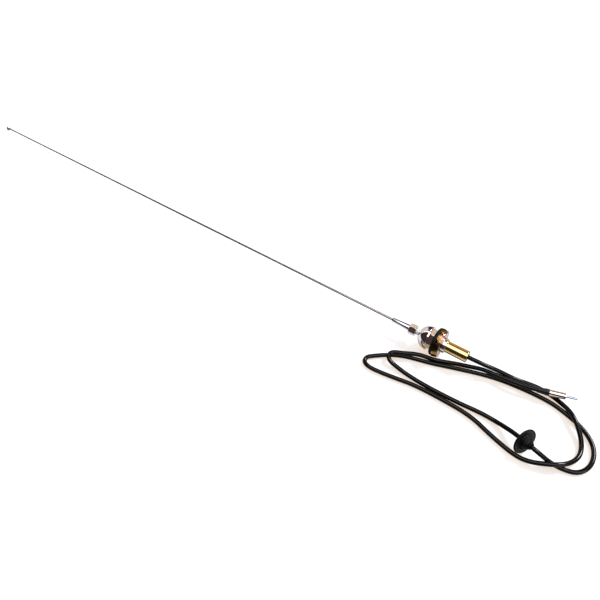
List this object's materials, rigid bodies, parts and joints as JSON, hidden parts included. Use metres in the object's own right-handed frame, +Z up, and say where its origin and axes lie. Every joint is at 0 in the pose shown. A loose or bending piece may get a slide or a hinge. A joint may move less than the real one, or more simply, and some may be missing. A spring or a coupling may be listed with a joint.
{
  "type": "car antenna",
  "caption": "Fixed-mast car antenna lying flat: tapered steel rod with a tip ball, chrome cap nut, panel gasket, claw washer, plated sleeve, and a coiled lead with grommet and plug.",
  "frame": {"origin": "bottom centre of the antenna without its lead: midway between the tip ball's end and the sleeve's end, on the surface that it lies on", "axes": "+X along the mast from the tip ball to the lead, +Z up; the mast's axis rises by about one degree along +X, because the claw washer is wider than the ball"},
  "size_m": [1.0244, 0.1058, 0.0367],
  "materials": {
    "stainless_rod": "polished",
    "bright_chrome": "polished",
    "black_rubber": "matte",
    "yellow_zinc": "yellow passivated zinc, iridescent",
    "bright_steel": "bright plated",
    "white_insulator": "moulded",
    "black_jacket": "glossy black sheath",
    "pale_dielectric": "extruded",
    "bare_copper": "bare wire",
    "boot_plastic": "moulded",
    "nickel_plate": "nickel plated"
  },
  "bodies": {
    "base": {"mast_stud": "bright_steel", "upper_insulator": "white_insulator", "lower_insulator": "white_insulator", "threaded_body": "bright_steel", "claw_washer": "yellow_zinc", "lower_sleeve": "yellow_zinc", "cable_bush": "black_rubber", "braid_clamp": "bright_steel", "cable_dielectric": "pale_dielectric", "centre_conductor": "bare_copper", "antenna_cable": "black_jacket", "grommet": "black_rubber", "plug_boot": "boot_plastic", "plug_shell": "nickel_plate", "plug_insulator": "white_insulator", "plug_pin": "nickel_plate", "plug_dielectric": "pale_dielectric", "plug_conductor": "bare_copper"},
    "seal": {"seat_gasket": "black_rubber"},
    "cap": {"cap_nut": "bright_chrome", "neck_seal": "black_rubber"},
    "mast": {"mast_rod": "stainless_rod", "tip_ball": "bright_chrome", "mast_ferrule": "bright_chrome"},
    "nut": {"coupling_nut": "bright_chrome"}
  },
  "joints": [
    {"name": "clamp_travel", "type": "slide", "parent": "base", "child": "seal", "axis": [-0.9998, 0, -0.0188], "range_m": [0, 0.0021]},
    {"name": "cap_turn", "type": "hinge", "parent": "seal", "child": "cap", "pos_m": [0.38945, 0, 0.01835], "axis": [-0.9998, 0, -0.0188], "range_deg": [0, 504]},
    {"name": "mast_lift", "type": "slide", "parent": "base", "child": "mast", "axis": [-0.9998, 0, -0.0188], "range_m": [0, 0.004]},
    {"name": "nut_turn", "type": "hinge", "parent": "mast", "child": "nut", "pos_m": [0.35646, 0, 0.01773], "axis": [-0.9998, 0, -0.0188], "range_deg": [0, 1800]}
  ],
  "couplings": [
    {"joint": "cap_turn", "follows": "clamp_travel", "rad_per_m": 4188.8},
    {"joint": "nut_turn", "follows": "mast_lift", "rad_per_m": 7854}
  ]
}
